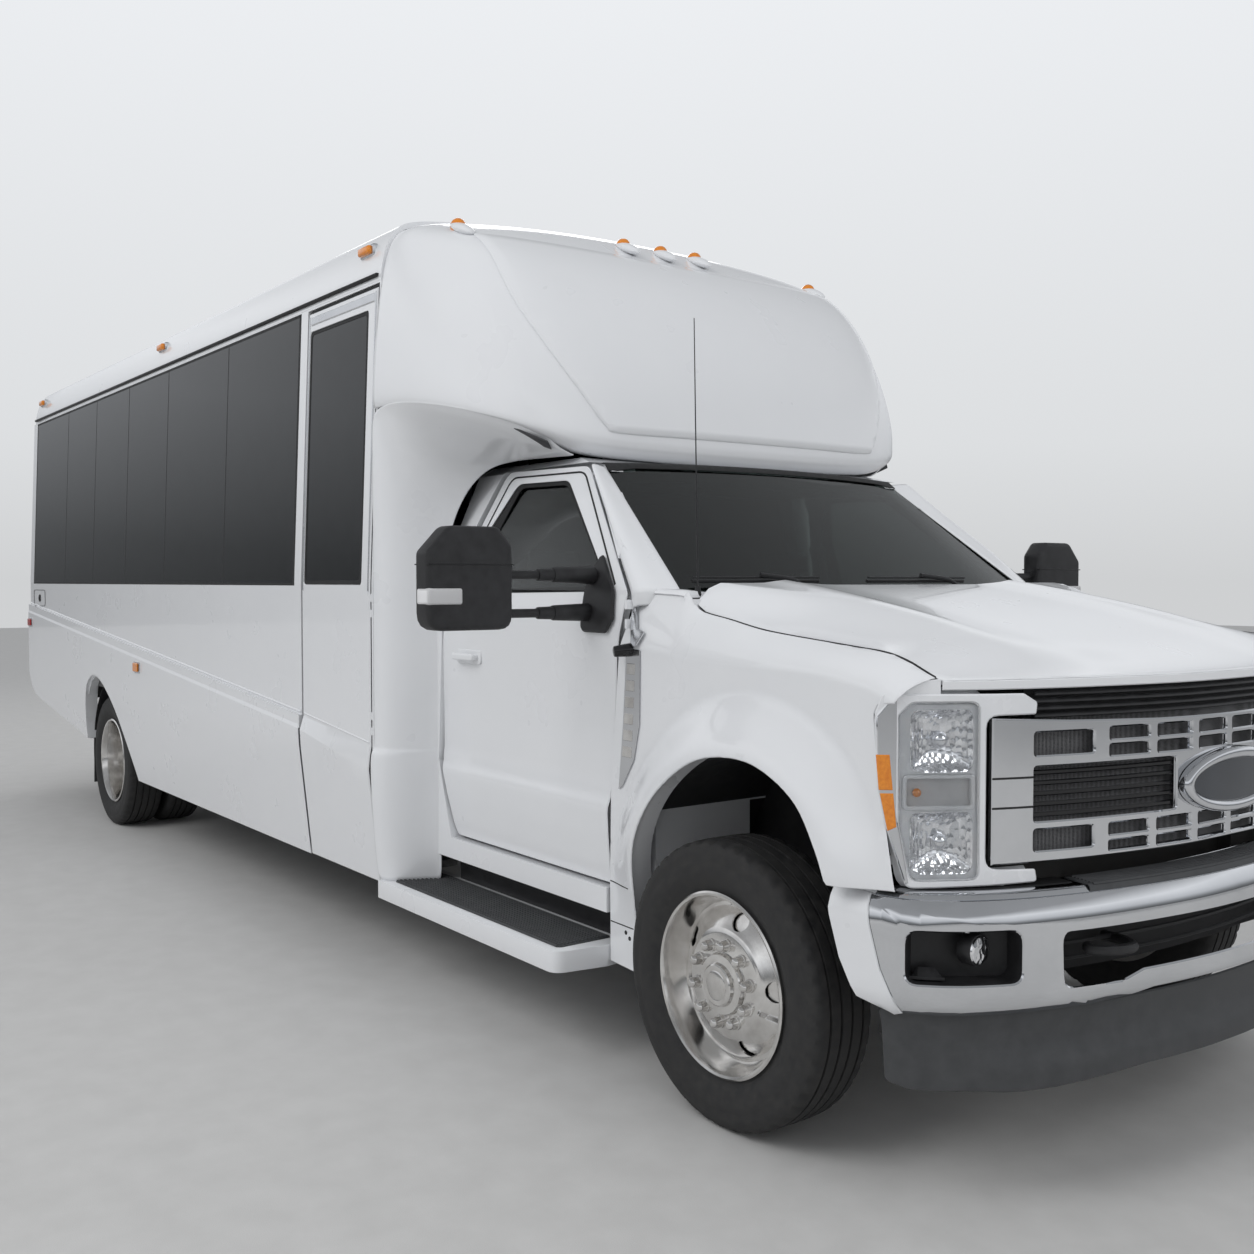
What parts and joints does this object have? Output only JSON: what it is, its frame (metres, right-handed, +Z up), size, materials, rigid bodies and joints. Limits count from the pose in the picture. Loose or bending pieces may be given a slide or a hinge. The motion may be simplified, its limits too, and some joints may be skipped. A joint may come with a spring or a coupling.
{
  "type": "shuttle minibus",
  "caption": "Shuttle minibus: truck cab with a long hood, raked nose cap and coach body, dark flush side windows, swinging passenger door and twin rear wheels.",
  "frame": {"origin": "on the ground, midway between the front and rear bumpers and between the mirrors", "axes": "+X ahead, +Y to the vehicle's left, +Z up"},
  "size_m": [8.77, 3.22, 3.0199],
  "materials": {
    "body_paint": "gloss",
    "dark_glass": "gloss",
    "windshield_glass": "gloss",
    "tyre_rubber": "matte",
    "polished_steel": "polished",
    "bright_chrome": "polished",
    "black_plastic": "satin",
    "chassis_steel": "satin",
    "cast_parts": "matte",
    "lamp_clear": "gloss",
    "lamp_red": "gloss",
    "lamp_amber": "gloss",
    "seat_cloth": "matte",
    "trim_grey": "matte",
    "deck_panel": "matte"
  },
  "bodies": {
    "chassis": {"frame_rails": "chassis_steel", "engine_block": "cast_parts", "front_axle": "chassis_steel", "rear_axle": "chassis_steel", "driveshaft": "chassis_steel", "fuel_tank": "chassis_steel", "cab_shell": "body_paint", "fender_right": "body_paint", "fender_left": "body_paint", "radiator_support": "black_plastic", "grille": "bright_chrome", "headlamps": "lamp_clear", "front_bumper": "bright_chrome", "front_valance": "black_plastic", "windshield": "windshield_glass", "running_boards": "black_plastic", "nose_cap": "body_paint", "side_wall_right": "body_paint", "side_wall_left": "body_paint", "side_windows": "dark_glass", "roof_panel": "body_paint", "rear_wall": "body_paint", "floor_deck": "deck_panel", "entry_steps": "deck_panel", "dashboard": "trim_grey", "seats": "seat_cloth", "rear_bumper": "chassis_steel", "tail_lamps": "lamp_red", "marker_lamps": "lamp_amber"},
    "steered_right": {"knuckle_right": "cast_parts"},
    "front_wheel_right": {"front_wheel_right": "polished_steel", "front_tyre_right": "tyre_rubber"},
    "rear_wheels_right": {"rear_wheels_right": "polished_steel", "rear_tyres_right": "tyre_rubber"},
    "cab_door_right": {"cab_door_right": "body_paint", "cab_door_glass_right": "windshield_glass", "mirror_right": "black_plastic"},
    "steered_left": {"knuckle_left": "cast_parts"},
    "front_wheel_left": {"front_wheel_left": "polished_steel", "front_tyre_left": "tyre_rubber"},
    "rear_wheels_left": {"rear_wheels_left": "polished_steel", "rear_tyres_left": "tyre_rubber"},
    "cab_door_left": {"cab_door_left": "body_paint", "cab_door_glass_left": "windshield_glass", "mirror_left": "black_plastic"},
    "passenger_door": {"passenger_door": "body_paint", "passenger_door_glass": "dark_glass"},
    "rear_door": {"rear_door": "body_paint", "rear_door_glass": "dark_glass"},
    "hood": {"hood": "body_paint"}
  },
  "joints": [
    {"name": "steer_right", "type": "hinge", "parent": "chassis", "child": "steered_right", "pos_m": [3.415, -0.8, 0.406], "axis": [0, 0, 1], "range_deg": [-35, 35]},
    {"name": "steer_left", "type": "hinge", "parent": "chassis", "child": "steered_left", "pos_m": [3.415, 0.8, 0.406], "axis": [0, 0, 1], "range_deg": [-35, 35]},
    {"name": "front_spin_right", "type": "hinge", "parent": "steered_right", "child": "front_wheel_right", "pos_m": [3.415, -0.95, 0.406], "axis": [0, 1, 0], "continuous": true},
    {"name": "front_spin_left", "type": "hinge", "parent": "steered_left", "child": "front_wheel_left", "pos_m": [3.415, 0.95, 0.406], "axis": [0, 1, 0], "continuous": true},
    {"name": "rear_spin_right", "type": "hinge", "parent": "chassis", "child": "rear_wheels_right", "pos_m": [-2.355, -0.915, 0.406], "axis": [0, 1, 0], "continuous": true},
    {"name": "rear_spin_left", "type": "hinge", "parent": "chassis", "child": "rear_wheels_left", "pos_m": [-2.355, 0.915, 0.406], "axis": [0, 1, 0], "continuous": true},
    {"name": "cab_door_swing_right", "type": "hinge", "parent": "chassis", "child": "cab_door_right", "pos_m": [2.921, -1, 1.438], "axis": [0, 0, 1], "range_deg": [0, 65]},
    {"name": "cab_door_swing_left", "type": "hinge", "parent": "chassis", "child": "cab_door_left", "pos_m": [2.921, 1, 1.438], "axis": [0, 0, -1], "range_deg": [0, 65]},
    {"name": "passenger_door_swing", "type": "hinge", "parent": "chassis", "child": "passenger_door", "pos_m": [1.519, -1.195, 1.215], "axis": [0, 0, 1], "range_deg": [0, 90]},
    {"name": "rear_door_swing", "type": "hinge", "parent": "chassis", "child": "rear_door", "pos_m": [-4.305, 0.476, 1.7], "axis": [0, 0, -1], "range_deg": [0, 100]},
    {"name": "hood_lift", "type": "hinge", "parent": "chassis", "child": "hood", "pos_m": [3.1825, 0, 1.488], "axis": [0, -1, 0], "range_deg": [0, 50]}
  ],
  "couplings": [
    {"joint": "steer_left", "follows": "steer_right", "ratio": 1}
  ]
}
